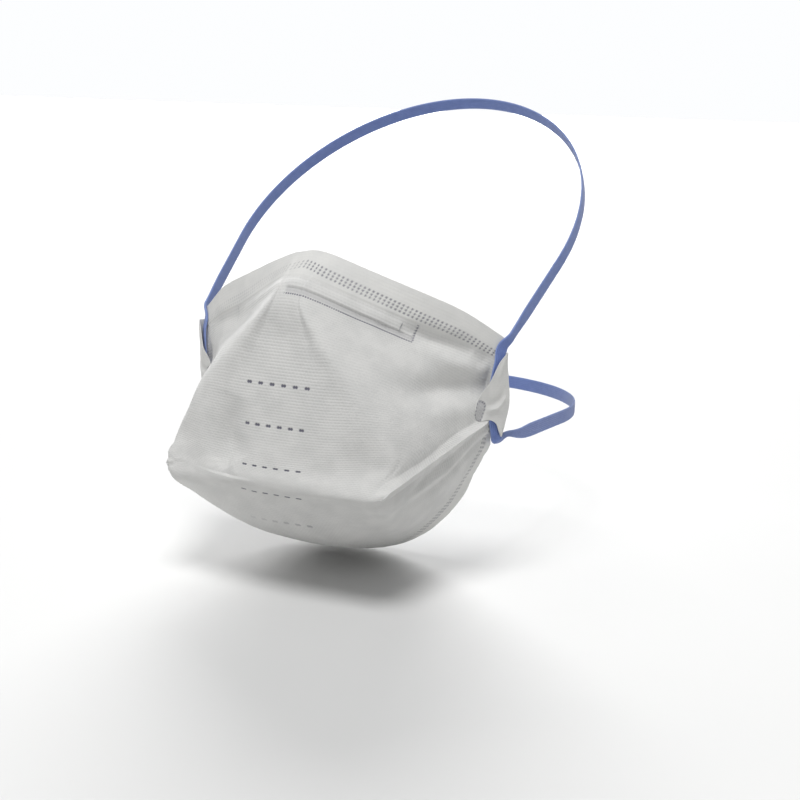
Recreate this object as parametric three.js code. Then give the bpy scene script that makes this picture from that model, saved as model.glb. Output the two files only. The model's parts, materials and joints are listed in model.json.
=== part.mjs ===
// Flat-fold duckbill dust mask: a layered nonwoven pouch, a nose wire and one elastic head band.
// Millimetres. +X is the wearer's left, -Y is forward (the beak), +Z is up.
// The origin is midway between the two strap loops, on the symmetry plane.
import * as THREE from "three";

// ---- driving dimensions -------------------------------------------------------------------------
const COVER_THICKNESS = 0.4;
const FILTER_THICKNESS = 0.5;
const LINER_THICKNESS = 0.4;
const PLY_GAP = 0.3; // free space kept between neighbouring plies
const WIRE_WIDTH = 4.5;
const WIRE_THICKNESS = 0.8;
const WIRE_REACH = 0.6; // share of the rim's half length that the wire covers
const WIRE_GAP = 0.4; // free space above and below the wire in its pocket
const BINDING_THICKNESS = 0.4;
const BINDING_GAP = 0.6; // free space between the binding's leaves and the plies
const BAND_WIDTH = 6;
const BAND_THICKNESS = 0.8;
const LOOP_THICKNESS = 0.5;
const LOOP_FOOT = -15.5;
const LOOP_TOP = 17;
const TUNNEL_DEPTH = 2.4; // from a loop's flap to the leaf behind the band

// Each panel is a net of points on its wearer's-left half, from the middle out to the side edge.
// The rows run from the beak fold to the rim. The upper and the lower net share the fold and the seam.
const FOLD_ROW = [
  [0, -69, -28.8], [18, -69, -28.8], [35, -68.7, -28.8], [43, -68.1, -28.8], [47.5, -67.2, -28.8], [50.4, -65.5, -28.8],
];
const SEAM = [
  [51.8, -53.5, -26.5], [56, -37.7, -21.7], [62, -23.8, -15.5], [67, -8.5, -9],
];
const UPPER_NET = [
  FOLD_ROW,
  [[0, -65, -21.5], [25, -63.2, -20.8], [46, -58.3, -19], [50.4, -55.4, -20], [51.6, -53.8, -23], SEAM[0]],
  [[0, -61.1, -7.6], [22, -60.3, -7.4], [42, -57, -6.2], [51.5, -46, -8.5], [56, -39, -14.5], SEAM[1]],
  [[0, -57.3, 8.3], [17, -56.9, 8.3], [33, -55.3, 8.3], [47, -42.5, 2], [57, -31, -6], SEAM[2]],
  [[0, -52.8, 25.5], [10, -53, 25.6], [19.5, -52.8, 25.8], [41, -34.5, 15.5], [57, -21.5, 4], SEAM[3]],
  [[0, -48.5, 42.8], [4.5, -48.5, 42.4], [9.5, -46.8, 40.8], [36, -27, 25.5], [56, -15.5, 16.5], [68.6, -6, 9]],
  [[0, -28, 56.3], [5.4, -28.1, 55.6], [13.3, -27.3, 53.2], [41, -17.5, 41.5], [57, -10.5, 33.7], [70.3, -2.5, 23.4]],
];
const LOWER_NET = [
  FOLD_ROW,
  [[0, -64.5, -35.5], [19, -64.3, -35.4], [37, -63, -35.3], [46.5, -60.8, -36.8], [50.6, -58.2, -33.6], SEAM[0]],
  [[0, -56, -48.5], [19, -55.5, -48.2], [37.5, -53.3, -45.4], [47.3, -48.3, -42.2], [53, -43, -32.5], SEAM[1]],
  [[0, -42.2, -59.4], [19, -41.3, -58.6], [37, -37.5, -53.8], [48.5, -31, -46.2], [56.8, -26.5, -31.5], SEAM[2]],
  [[0, -18, -69], [20, -17, -67.2], [36.5, -15.5, -58.8], [49.5, -13, -44.5], [60, -11, -27.5], SEAM[3]],
  [[0, 4, -71.5], [18, 3, -69.8], [34.5, 1.5, -61], [49.5, 0, -45], [59, -1.5, -30], [65.5, -3, -17]],
];
const UPPER_SIDE = 1; // the sign that turns a panel's normal outwards
const LOWER_SIDE = -1;

const COLUMNS = 20; // faces across a panel
const ROWS = 12; // faces from the fold to the rim
const POCKET_FOOT = 10 / ROWS; // the rows between which the nose wire lies
const BINDING_FOOT = 11 / ROWS; // and the row that the binding's leaves reach down to
const SEAM_HALF_GAP = 0.6;
const SEAM_INSET_PER_DEPTH = 2.6; // how far a deeper ply stays back from the sharply folded side seam
const FOLD_INSET_PER_DEPTH = 1; // and from the middle of the beak fold, which is blunter
const BORDER_SHARE = 0.3; // share of a panel over which an inset is taken up
const FINE_STEPS = 60; // samples along a curve when a distance on it is looked up
const NORMAL_STEP = 0.01; // in u and v, when a panel's slope is measured

// ---- materials ----------------------------------------------------------------------------------
function material(color, roughness, metalness = 0) {
  return new THREE.MeshStandardMaterial({ color, roughness, metalness });
}
const coverMaterial = material(0xd6d5d0, 0.85);
const filterMaterial = material(0xeeeeea, 0.9);
const linerMaterial = material(0xe6e6e2, 0.9);
const bindingMaterial = material(0xdad9d4, 0.8);
const wireMaterial = material(0xb4b6b8, 0.35, 0.9);
const bandMaterial = material(0x6f86c6, 0.7);

// ---- the panels' surfaces -----------------------------------------------------------------------
function mirroredRow(row) {
  const left = row.map(([x, y, z]) => new THREE.Vector3(x, y, z));
  const right = left.slice(1).reverse().map((p) => new THREE.Vector3(-p.x, p.y, p.z));
  return new THREE.CatmullRomCurve3([...right, ...left], false, "catmullrom", 0.5);
}

// A panel's point at u from -1 to 1 across it and v from 0 at the fold to 1 at the rim.
function panelSurface(net) {
  const rows = net.map(mirroredRow);
  return (u, v) => {
    const across = rows.map((row) => row.getPoint((u + 1) / 2));
    return new THREE.CatmullRomCurve3(across, false, "catmullrom", 0.5).getPoint(v);
  };
}

function panelNormal(surface, side, u, v) {
  const [left, right] = [Math.max(u - NORMAL_STEP, -1), Math.min(u + NORMAL_STEP, 1)];
  const [foot, top] = [Math.max(v - NORMAL_STEP, 0), Math.min(v + NORMAL_STEP, 1)];
  const across = surface(right, v).sub(surface(left, v));
  const along = surface(u, top).sub(surface(u, foot));
  return across.cross(along).normalize().multiplyScalar(side);
}

// The point a given depth inside the panel's outer face (a negative depth is proud of it).
function pointAtDepth(panel, u, v, depth) {
  const normal = panelNormal(panel.surface, panel.side, u, v);
  return panel.surface(u, v).addScaledVector(normal, -depth);
}

// The parameter, walking from start to end, at which the curve has run the given distance.
function parameterAtDistance(curve, start, end, distance) {
  let last = curve(start);
  let walked = 0;
  for (let i = 1; i <= FINE_STEPS; i++) {
    const t = start + ((end - start) * i) / FINE_STEPS;
    const next = curve(t);
    const step = next.distanceTo(last);
    if (walked + step >= distance) {
      return t - (((end - start) / FINE_STEPS) * (walked + step - distance)) / step;
    }
    walked += step;
    last = next;
  }
  return end;
}

const upperPanel = { surface: panelSurface(UPPER_NET), side: UPPER_SIDE };
const lowerPanel = { surface: panelSurface(LOWER_NET), side: LOWER_SIDE };

// ---- closed sheets ------------------------------------------------------------------------------
// A closed solid between two grids of points, grid[row][column], with walls round the border.
function closedSheet(front, back) {
  const rows = front.length;
  const columns = front[0].length;
  const points = [...front.flat(), ...back.flat()];
  const frontAt = (j, i) => j * columns + i;
  const backAt = (j, i) => rows * columns + j * columns + i;
  const index = [];
  const length = (a, b) => points[a].distanceTo(points[b]);
  const quad = (a, b, c, d) => { // split along its shorter diagonal, so that neighbouring sheets match
    index.push(...(length(a, c) < length(b, d) ? [a, b, c, a, c, d] : [a, b, d, b, c, d]));
  };
  for (let j = 0; j < rows - 1; j++) {
    for (let i = 0; i < columns - 1; i++) {
      quad(frontAt(j, i), frontAt(j, i + 1), frontAt(j + 1, i + 1), frontAt(j + 1, i));
      quad(backAt(j, i), backAt(j + 1, i), backAt(j + 1, i + 1), backAt(j, i + 1));
    }
  }
  for (let i = 0; i < columns - 1; i++) {
    quad(frontAt(0, i + 1), frontAt(0, i), backAt(0, i), backAt(0, i + 1));
    quad(frontAt(rows - 1, i), frontAt(rows - 1, i + 1), backAt(rows - 1, i + 1), backAt(rows - 1, i));
  }
  for (let j = 0; j < rows - 1; j++) {
    quad(frontAt(j, 0), frontAt(j + 1, 0), backAt(j + 1, 0), backAt(j, 0));
    quad(frontAt(j + 1, columns - 1), frontAt(j, columns - 1), backAt(j, columns - 1), backAt(j + 1, columns - 1));
  }
  const geometry = new THREE.BufferGeometry();
  const positions = points.flatMap((p) => p.toArray());
  geometry.setAttribute("position", new THREE.Float32BufferAttribute(positions, 3));
  geometry.setIndex(index);
  if (signedVolume(geometry) < 0) {
    geometry.index.array.reverse();
  }
  geometry.computeVertexNormals();
  return geometry;
}

function signedVolume(geometry) {
  const corners = geometry.getAttribute("position");
  const index = geometry.index;
  const [a, b, c] = [new THREE.Vector3(), new THREE.Vector3(), new THREE.Vector3()];
  let volume = 0;
  for (let i = 0; i < index.count; i += 3) {
    a.fromBufferAttribute(corners, index.getX(i));
    b.fromBufferAttribute(corners, index.getX(i + 1));
    c.fromBufferAttribute(corners, index.getX(i + 2));
    volume += a.dot(b.cross(c)) / 6;
  }
  return volume;
}

function grid(rows, columns, pointAt) {
  return Array.from({ length: rows + 1 }, (_, j) =>
    Array.from({ length: columns + 1 }, (_, i) => pointAt(i / columns, j / rows)),
  );
}

// ---- plies --------------------------------------------------------------------------------------
// Behind the nose wire the inner plies stand further back, so that the wire has its pocket.
const POCKET_DEPTH = WIRE_THICKNESS + 2 * WIRE_GAP - PLY_GAP;
const POCKET_SLOPE = [0.6, 0.8]; // the v between which they step back
function pocketDepth(panel, v) {
  return panel.side === UPPER_SIDE ? POCKET_DEPTH * THREE.MathUtils.smoothstep(v, ...POCKET_SLOPE) : 0;
}

// Squeezes 0..1 so that it starts at low instead of 0, and leaves all past the border share where it is.
function keptBack(t, low) {
  return t >= BORDER_SHARE ? t : low + (t / BORDER_SHARE) * (BORDER_SHARE - low);
}

// One ply between two depths. Deeper plies are cut back from the seams and from the fold.
function plyGeometry(panel, outerDepth, innerDepth) {
  const seamInset = SEAM_HALF_GAP + SEAM_INSET_PER_DEPTH * innerDepth;
  const foldInset = SEAM_HALF_GAP + FOLD_INSET_PER_DEPTH * innerDepth;
  const extra = (v) => (outerDepth > COVER_THICKNESS ? pocketDepth(panel, v) : 0);
  const cell = (depth) => (across, along) => {
    const u = 2 * across - 1;
    const toRim = (t) => panel.surface(u, t);
    const inset = THREE.MathUtils.lerp(foldInset, seamInset, Math.abs(u) ** 3);
    const v = keptBack(along, parameterAtDistance(toRim, 0, 1, inset));
    const toMiddle = (t) => panel.surface(1 - t, v);
    const fromEdge = keptBack(1 - Math.abs(u), parameterAtDistance(toMiddle, 0, 1, seamInset));
    return pointAtDepth(panel, Math.sign(u) * (1 - fromEdge), v, depth + extra(v));
  };
  return closedSheet(grid(ROWS, COLUMNS, cell(outerDepth)), grid(ROWS, COLUMNS, cell(innerDepth)));
}

const FILTER_DEPTH = COVER_THICKNESS + PLY_GAP;
const LINER_DEPTH = FILTER_DEPTH + FILTER_THICKNESS + PLY_GAP;
const STACK_DEPTH = LINER_DEPTH + LINER_THICKNESS;

// ---- rim bindings -------------------------------------------------------------------------------
// A tape folded over the rim: down the outside, round the edge and down the inside of the plies.
function bindingGeometry(panel) {
  const inside = STACK_DEPTH + pocketDepth(panel, 1);
  const tape = (clearance) => {
    const path = [
      { v: BINDING_FOOT, depth: -clearance, beyond: 0 },
      { v: 1, depth: -clearance, beyond: 0 },
      { v: 1, depth: inside / 2, beyond: clearance },
      { v: 1, depth: inside + clearance, beyond: 0 },
      { v: BINDING_FOOT, depth: inside + clearance, beyond: 0 },
    ];
    return grid(path.length - 1, COLUMNS, (across, along) => {
      const { v, depth, beyond } = path[Math.round(along * (path.length - 1))];
      const u = 2 * across - 1;
      const upwards = panel.surface(u, 1).sub(panel.surface(u, BINDING_FOOT)).normalize();
      return pointAtDepth(panel, u, v, depth).addScaledVector(upwards, beyond);
    });
  };
  return closedSheet(tape(BINDING_GAP + BINDING_THICKNESS), tape(BINDING_GAP));
}

// ---- nose wire ----------------------------------------------------------------------------------
// A flat strip under the outer cover, bent to the nose.
function noseWireGeometry() {
  const outer = COVER_THICKNESS + WIRE_GAP;
  const wireColumns = COLUMNS * WIRE_REACH;
  const strip = (depth) =>
    grid(1, wireColumns, (across, along) => {
      const u = WIRE_REACH * (2 * across - 1);
      const foot = pointAtDepth(upperPanel, u, POCKET_FOOT, depth);
      const top = pointAtDepth(upperPanel, u, BINDING_FOOT, depth);
      const share = 0.5 + ((along - 0.5) * WIRE_WIDTH) / foot.distanceTo(top);
      return foot.lerp(top, share);
    });
  return closedSheet(strip(outer), strip(outer + WIRE_THICKNESS));
}

// ---- strap loops --------------------------------------------------------------------------------
// The loop stands in an upright plane: "in" runs from its fold towards the beak, "out" away from the face.
const LOOP_FOLD = new THREE.Vector3(73.5, -4, 0);
const LOOP_IN = new THREE.Vector3(-0.69, -0.72, 0).normalize();
const LOOP_OUT = new THREE.Vector3(0.72, -0.69, 0).normalize();
const INNER_LEAF = 1.6; // how far the leaf behind the band reaches in from the fold
const FOLD_TURN = [210, 180, 150]; // degrees round the tunnel's end
const FLAP_STOPS = [0.15, 0.5, 1]; // shares of the flap's reach
const FLAP_RISE = 1.1; // how far the flap's tip stands out, over the swell of the cover
const FLAP_OUTLINE = [ // [height, how far the flap reaches in from the fold], from foot to top
  [LOOP_FOOT, 1.2], [-12, 5], [-9.5, 9.5], [-7, 13.6], [-4, 15.2], [-1, 13.4], [1.7, 9.6], [9.5, 5.2], [LOOP_TOP, 1.2],
];

function loopPoint(side, inward, outward, z) {
  const p = LOOP_FOLD.clone().addScaledVector(LOOP_IN, inward).addScaledVector(LOOP_OUT, outward);
  return new THREE.Vector3(side * p.x, p.y, z);
}

// Plan of the loop at one height, as [in, out, thickness direction in, out] stops along the cloth.
function loopPath(reach) {
  const turn = TUNNEL_DEPTH / 2;
  const behind = [INNER_LEAF, 0].map((inward) => [inward, -TUNNEL_DEPTH, 0, -1]);
  const fold = FOLD_TURN.map((degrees) => {
    const angle = THREE.MathUtils.degToRad(degrees);
    return [turn * Math.cos(angle), turn * Math.sin(angle) - turn, Math.cos(angle), Math.sin(angle)];
  });
  const flap = FLAP_STOPS.map((share) => [share * reach, FLAP_RISE * share * share, 0, 1]);
  return [...behind, ...fold, ...flap];
}

function loopGeometry(side) {
  const leaf = (offset) =>
    FLAP_OUTLINE.map(([height, reach]) =>
      loopPath(reach).map(([inward, outward, towardsIn, towardsOut]) =>
        loopPoint(side, inward + offset * towardsIn, outward + offset * towardsOut, height),
      ),
    );
  return closedSheet(leaf(LOOP_THICKNESS / 2), leaf(-LOOP_THICKNESS / 2));
}

// ---- elastic band -------------------------------------------------------------------------------
const BAND_EDGE_GAP = 0.3; // from the loop's fold to the band's edge
const BAND_IN = BAND_WIDTH / 2 + BAND_EDGE_GAP; // the band's middle, in from the loop's fold
const BAND_OUT = -TUNNEL_DEPTH / 2;

// The stretch of band inside a loop's tunnel.
function tunnelBandGeometry(side) {
  const face = (out) =>
    grid(1, 1, (across, along) =>
      loopPoint(side, BAND_IN + BAND_WIDTH * (across - 0.5), BAND_OUT + out, along ? LOOP_TOP : LOOP_FOOT),
    );
  return closedSheet(face(BAND_THICKNESS / 2), face(-BAND_THICKNESS / 2));
}

// One run of the band from tunnel to tunnel round the head. It leaves its pivot, at the tunnel's mouth,
// straight back in a plane with the given rise in degrees, and lies on an ellipse in that plane.
const CROWN_RUN = { pivot: [71.8, -4.2, 20.5], rise: 34, halfWidth: 77.5, halfLength: 92, centreBack: 60 };
const NAPE_RUN = { pivot: [69, -4, -19], rise: -4, halfWidth: 69.5, halfLength: 68, centreBack: 68 };
const ROUTE_STEPS = 24;

// The run's points in its plane: [x, distance back from the pivot].
function bandRoute({ pivot: [pivotX], halfWidth, halfLength, centreBack }) {
  const towardsSide = pivotX / halfWidth;
  const towardsBack = centreBack / halfLength;
  const touch = Math.acos(1 / Math.hypot(towardsSide, towardsBack)) - Math.atan2(towardsBack, towardsSide);
  const round = Array.from({ length: ROUTE_STEPS + 1 }, (_, i) => {
    const angle = touch + ((Math.PI - 2 * touch) * i) / ROUTE_STEPS;
    return [halfWidth * Math.cos(angle), centreBack + halfLength * Math.sin(angle)];
  });
  return [[pivotX, 0], ...round, [-pivotX, 0]];
}

// A flat band standing on edge along the run, with a round end about each pivot.
const ROUND_END = [[0.98, 0.2], [0.7, 0.714], [0.35, 0.937]]; // [forward, up] on a unit circle
function hoopGeometry(run) {
  const [pivotX, pivotY, pivotZ] = run.pivot;
  const tilt = THREE.MathUtils.degToRad(run.rise);
  const place = ([x, back], up) =>
    new THREE.Vector3(
      x,
      pivotY + back * Math.cos(tilt) - up * Math.sin(tilt),
      pivotZ + back * Math.sin(tilt) + up * Math.cos(tilt),
    );
  const half = BAND_WIDTH / 2;
  const end = (x) => ROUND_END.map(([forward, up]) => ({ at: [x, -half * forward], up: half * up }));
  const stops = [
    ...end(pivotX),
    ...bandRoute(run).map((at) => ({ at, up: half })),
    ...end(-pivotX).reverse(),
  ];
  const direction = (i) => {
    const [from, to] = [stops[Math.max(i - 1, 0)].at, stops[Math.min(i + 1, stops.length - 1)].at];
    return new THREE.Vector2(to[0] - from[0], to[1] - from[1]).normalize();
  };
  const face = (offset) =>
    stops.map(({ at, up }, i) => {
      const along = direction(i);
      const moved = [at[0] + offset * along.y, at[1] - offset * along.x];
      return [-1, 1].map((edge) => place(moved, edge * up));
    });
  return closedSheet(face(BAND_THICKNESS / 2), face(-BAND_THICKNESS / 2));
}

// ---- assembly -----------------------------------------------------------------------------------
const mask = new THREE.Group();
mask.name = "dust_mask";

function add(name, geometry, look) {
  const mesh = new THREE.Mesh(geometry, look);
  mesh.name = name;
  mask.add(mesh);
}

for (const [name, panel] of [["upper", upperPanel], ["lower", lowerPanel]]) {
  add("outer_cover_" + name, plyGeometry(panel, 0, COVER_THICKNESS), coverMaterial);
  add("filter_" + name, plyGeometry(panel, FILTER_DEPTH, FILTER_DEPTH + FILTER_THICKNESS), filterMaterial);
  add("inner_liner_" + name, plyGeometry(panel, LINER_DEPTH, STACK_DEPTH), linerMaterial);
  add(name + "_edge_binding", bindingGeometry(panel), bindingMaterial);
}
add("nose_wire", noseWireGeometry(), wireMaterial);
for (const [name, side] of [["left", 1], ["right", -1]]) {
  add("strap_loop_" + name, loopGeometry(side), coverMaterial);
  add("band_in_loop_" + name, tunnelBandGeometry(side), bandMaterial);
}
add("upper_band", hoopGeometry(CROWN_RUN), bandMaterial);
add("lower_band", hoopGeometry(NAPE_RUN), bandMaterial);

export default mask;
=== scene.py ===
"""Flat-fold duckbill dust mask: looks, camera and light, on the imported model's frame."""
import json
import math

import bpy
import numpy as np
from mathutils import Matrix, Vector, noise
from mathutils.bvhtree import BVHTree

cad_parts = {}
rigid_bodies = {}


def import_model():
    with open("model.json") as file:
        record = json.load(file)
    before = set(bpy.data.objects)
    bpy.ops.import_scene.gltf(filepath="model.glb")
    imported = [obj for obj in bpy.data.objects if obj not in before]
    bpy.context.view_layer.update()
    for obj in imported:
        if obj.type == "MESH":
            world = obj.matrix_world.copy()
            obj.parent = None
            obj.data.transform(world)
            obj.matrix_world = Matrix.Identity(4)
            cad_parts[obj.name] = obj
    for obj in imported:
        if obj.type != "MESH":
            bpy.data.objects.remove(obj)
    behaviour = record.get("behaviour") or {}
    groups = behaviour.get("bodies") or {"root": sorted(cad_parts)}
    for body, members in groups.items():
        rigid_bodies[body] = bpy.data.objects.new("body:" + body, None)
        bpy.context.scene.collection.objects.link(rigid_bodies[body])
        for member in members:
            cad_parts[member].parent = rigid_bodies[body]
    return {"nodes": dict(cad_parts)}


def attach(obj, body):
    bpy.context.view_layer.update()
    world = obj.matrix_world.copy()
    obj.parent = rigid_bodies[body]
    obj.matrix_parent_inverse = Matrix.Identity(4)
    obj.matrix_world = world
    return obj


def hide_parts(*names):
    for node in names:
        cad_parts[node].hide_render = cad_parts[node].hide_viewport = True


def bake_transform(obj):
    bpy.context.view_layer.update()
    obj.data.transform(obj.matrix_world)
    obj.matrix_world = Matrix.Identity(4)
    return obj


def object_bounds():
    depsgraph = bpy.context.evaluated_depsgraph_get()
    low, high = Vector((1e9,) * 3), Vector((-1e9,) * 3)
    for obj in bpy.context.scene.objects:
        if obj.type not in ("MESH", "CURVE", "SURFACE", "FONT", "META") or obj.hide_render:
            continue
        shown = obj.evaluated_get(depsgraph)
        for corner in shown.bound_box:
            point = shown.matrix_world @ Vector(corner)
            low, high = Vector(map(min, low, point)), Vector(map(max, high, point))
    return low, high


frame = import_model()
cad_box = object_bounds()

# ---- sizes, in millimetres ----------------------------------------------------------------------
METRES = 0.001
BAND_WIDTH = 6
BAND_THICKNESS = 0.8
TAPE_THICKNESS = 0.18
PLY_THICKNESS = 0.4
FILTER_DEPTH = 0.7
LINER_DEPTH = 1.5
WIRE_ROOM = 1.3  # extra depth of the inner plies behind the nose wire
WIRE_ROOM_ROWS = (0.6, 0.8)  # the v over which it begins
RIM_DEPTH = 0.35  # share of their depth that the plies keep where the tape presses them together
RIM_ROWS = (0.93, 0.985)  # the v over which the tape presses them
SEAM_DEPTH = 0.15  # and the share that they keep at the side seams
SEAM_PRESS = 9  # distance from the seam over which they come apart
PANEL_HEIGHT = {"upper": 100, "lower": 88}  # from the fold to the rim along the cloth

# The panels' nets, on the wearer's left, from the middle out; rows from the beak fold to the rim.
FOLD_ROW = [
    (0, -69, -28.8), (18, -69, -28.8), (35, -68.7, -28.8), (43, -68.1, -28.8), (47.5, -67.2, -28.8),
    (50.4, -65.5, -28.8),
]
SEAM = [(51.8, -53.5, -26.5), (56, -37.7, -21.7), (62, -23.8, -15.5), (67, -8.5, -9)]
UPPER_NET = [
    FOLD_ROW,
    [(0, -65, -21.5), (25, -63.2, -20.8), (46, -58.3, -19), (50.4, -55.4, -20), (51.6, -53.8, -23), SEAM[0]],
    [(0, -61.1, -7.6), (22, -60.3, -7.4), (42, -57, -6.2), (51.5, -46, -8.5), (56, -39, -14.5), SEAM[1]],
    [(0, -57.3, 8.3), (17, -56.9, 8.3), (33, -55.3, 8.3), (47, -42.5, 2), (57, -31, -6), SEAM[2]],
    [(0, -52.8, 25.5), (10, -53, 25.6), (19.5, -52.8, 25.8), (41, -34.5, 15.5), (57, -21.5, 4), SEAM[3]],
    [(0, -48.5, 42.8), (4.5, -48.5, 42.4), (9.5, -46.8, 40.8), (36, -27, 25.5), (56, -15.5, 16.5),
     (68.6, -6, 9)],
    [(0, -28, 56.3), (5.4, -28.1, 55.6), (13.3, -27.3, 53.2), (41, -17.5, 41.5), (57, -10.5, 33.7),
     (70.3, -2.5, 23.4)],
]
LOWER_NET = [
    FOLD_ROW,
    [(0, -64.5, -35.5), (19, -64.3, -35.4), (37, -63, -35.3), (46.5, -60.8, -36.8), (50.6, -58.2, -33.6),
     SEAM[0]],
    [(0, -56, -48.5), (19, -55.5, -48.2), (37.5, -53.3, -45.4), (47.3, -48.3, -42.2), (53, -43, -32.5),
     SEAM[1]],
    [(0, -42.2, -59.4), (19, -41.3, -58.6), (37, -37.5, -53.8), (48.5, -31, -46.2), (56.8, -26.5, -31.5),
     SEAM[2]],
    [(0, -18, -69), (20, -17, -67.2), (36.5, -15.5, -58.8), (49.5, -13, -44.5), (60, -11, -27.5), SEAM[3]],
    [(0, 4, -71.5), (18, 3, -69.8), (34.5, 1.5, -61), (49.5, 0, -45), (59, -1.5, -30), (65.5, -3, -17)],
]
NETS = {"upper": UPPER_NET, "lower": LOWER_NET}
OUTWARDS = {"upper": 1, "lower": -1}
FOLD_ROUND = 0.08  # share of a panel's height over which the middle of the beak fold is rounded
FOLD_ROUND_MORE = 0.14  # and how much more of it on the wearer's right, where the fold has slackened
SLACK_SIDE = (0.12, 0.35)  # the distance from the middle, as a share, over which that begins
RUMPLES = ((0.35, 19), (0.12, 6))  # height and size of the cloth's unevenness
STIFF = 3  # soft folds fade in over this distance from the side seams and the beak fold
STIFF_FOLD = 9  # and the unevenness over this distance from the beak fold

# Soft folds as (panel, points (u, v) on it, width, height, share of the height at its two ends).
SOFT_FOLDS = [
    ("upper", [(0.58, 0.868), (0.72, 0.875), (0.92, 0.872)], 3.6, -3.6, (0.2, 0.4)),
    ("upper", [(0.52, 0.53), (0.69, 0.61), (0.79, 0.69), (0.88, 0.74), (0.98, 0.79)], 6, -4.6, (0.1, 0.8)),
    ("upper", [(0.68, 0.8), (0.8, 0.81), (0.92, 0.82)], 4, 1.2, (0.1, 0.4)),
    ("upper", [(0.68, 0.43), (0.85, 0.62), (0.96, 0.72)], 5, 1.4, (0.1, 0.6)),
    ("upper", [(-0.6, 0.868), (-0.72, 0.872), (-0.92, 0.875)], 3.2, -1.2, (0.2, 0.3)),
    ("upper", [(-0.6, 0.58), (-0.74, 0.64), (-0.86, 0.72), (-0.97, 0.78)], 6, -1.8, (0.1, 0.8)),
    ("upper", [(-0.2, 0.44), (-0.19, 0.285), (-0.172, 0.19), (-0.19, 0.03)], 7, -4.4, (0, 0.3)),
    ("upper", [(-0.13, 0.2), (-0.14, 0.1), (-0.15, 0.01)], 2.5, 0.8, (0.1, 0.3)),
    ("upper", [(-0.47, 0.26), (-0.55, 0.37), (-0.64, 0.52)], 7, -2.5, (0.4, 1)),
    ("upper", [(-0.62, 0.16), (-0.76, 0.1), (-0.95, 0.05)], 5, 2.0, (0.3, 0.6)),
    ("lower", [(-0.12, 0.06), (-0.13, 0.16), (-0.14, 0.32)], 4, -0.5, (0.4, 0)),
    ("lower", [(0.8, 0.25), (0.93, 0.43), (0.965, 0.62), (0.98, 0.8)], 1.6, -0.7, (0.1, 0.9)),
    ("lower", [(0.74, 0.22), (0.84, 0.43), (0.9, 0.62), (0.96, 0.84)], 1.8, 0.7, (0.1, 0.9)),
    ("lower", [(0.68, 0.3), (0.8, 0.52), (0.88, 0.7), (0.95, 0.87)], 2.2, -0.9, (0.1, 0.8)),
    ("lower", [(-0.8, 0.25), (-0.93, 0.43), (-0.965, 0.62), (-0.98, 0.8)], 1.6, -0.6, (0.1, 0.9)),
    ("lower", [(-0.7, 0.3), (-0.82, 0.52), (-0.9, 0.72), (-0.96, 0.87)], 2, 0.7, (0.1, 0.8)),
    ("lower", [(-0.5, 0.35), (-0.66, 0.6), (-0.8, 0.85)], 5, -1.0, (0, 0.5)),
    ("lower", [(0.15, 0.9), (0.48, 0.95), (0.78, 0.96)], 9, 2.4, (0, 0.3)),
    ("lower", [(0.84, 0.95), (0.93, 0.95), (1, 0.95)], 7, 1.5, (0.2, 1)),
]

# Marks pressed into the cloth.
TAPE_FOOT = {"upper": 0.9, "lower": 0.8}
TAPE_DOT_ROWS = {"upper": (0.935, 0.946, 0.957), "lower": (0.818, 0.835, 0.852)}
TAPE_DOT_LEAN = {"upper": -0.029, "lower": 0}  # how far the rows' v drifts from the middle to the seam
TAPE_RAMP = 0.8  # width over which the tape's foot melts into the cover
TAPE_DOT_PITCH = 1.85
TAPE_DOT_RADIUS = {"upper": 0.44, "lower": 0.56}
SEAM_STRIP = 5  # width of the welded strip along the side seams
SEAM_SHIFT = np.array((2.2, -0.8, 2.4))  # how the strip stands out and up at its edge
SEAM_CURVE = 1.2  # how quickly that dies out across its width
SEAM_START = {1: (0, 0.035), -1: (0.1, 0.25)}  # the v over which it begins on the wearer's left and right
SEAM_HEM = 2  # width over which the lower panel's edge goes with it
SEAM_STRIP_END = (0.58, 0.72)  # the v over which it runs out under the loop
SEAM_MATCH = 5 / 6  # the upper panel's v at a place on the seam, as a share of the lower panel's
SEAM_TOP = 0.8  # the lower panel's v at which the seam ends
TIP_PULL = np.array((1.7, 0.9, 0.2))  # how far the beak's corner on the wearer's right is tucked in
TIP_SIZE = 3.2  # and the distance from the corner at which that has died out
POCKET_LINE = 0.833  # the fine dotted line under the nose wire
POCKET_PITCH = 1.0
POCKET_DOT_RADIUS = 0.36
POCKET_DOT_DEPTH = 0.15
POCKET_END = 0.645  # and the u at which the pocket is closed
POCKET_END_ROWS = 8
POCKET_END_STRENGTH = {-1: 0.3, 1: 0.9}  # of the dots that close it on the wearer's right and left
POCKET_START = (-0.12, -0.05)  # the u over which its marks appear, on the wearer's right of the nose
POCKET_BAND = (0.838, 0.856)  # the flat strip between the dotted line and the wire
POCKET_BAND_DEPTH = 0.3
WIRE_RIDGE = (0.858, 0.885)  # the v between which the wire lifts the cover
WIRE_RIDGE_HEIGHT = 0.6
WIRE_RIDGE_END = (0.57, 0.62)  # the u over which the ridge runs out
WIRE_RIDGE_FAINT = 0.6  # its share of height where the pocket is not marked
DASH_DEPTH = 0.22
TAPE_DOT_DEPTH = 0.13
# how strongly the tape's dots take the weld colour, which holds painted shade of their pits
TAPE_DOT_SHADE = 0.75
DASH_ROWS = [  # panel, v, half length, shift to the wearer's left, strength at the two ends
    ("upper", 0.498, 13.2, 0, (1, 1)), ("upper", 0.333, 12.5, 0, (1, 1)), ("upper", 0.141, 12.3, 1, (1, 1)),
    ("lower", 0.146, 12.7, 1.3, (1, 1)), ("lower", 0.383, 13.1, 0, (0.15, 0.5)),
]
DASHES = 6
DASH_SPREAD = 0.5  # each dash is two touching dots, this far from its middle
DASH_RADIUS = {"upper": 0.68, "lower": 0.84}
FINE_MIDDLE = 17  # half width of the middle stretch that gets a finer mesh
FINE_EDGE = 7  # and width of the finer stretch along the side seams

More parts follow.
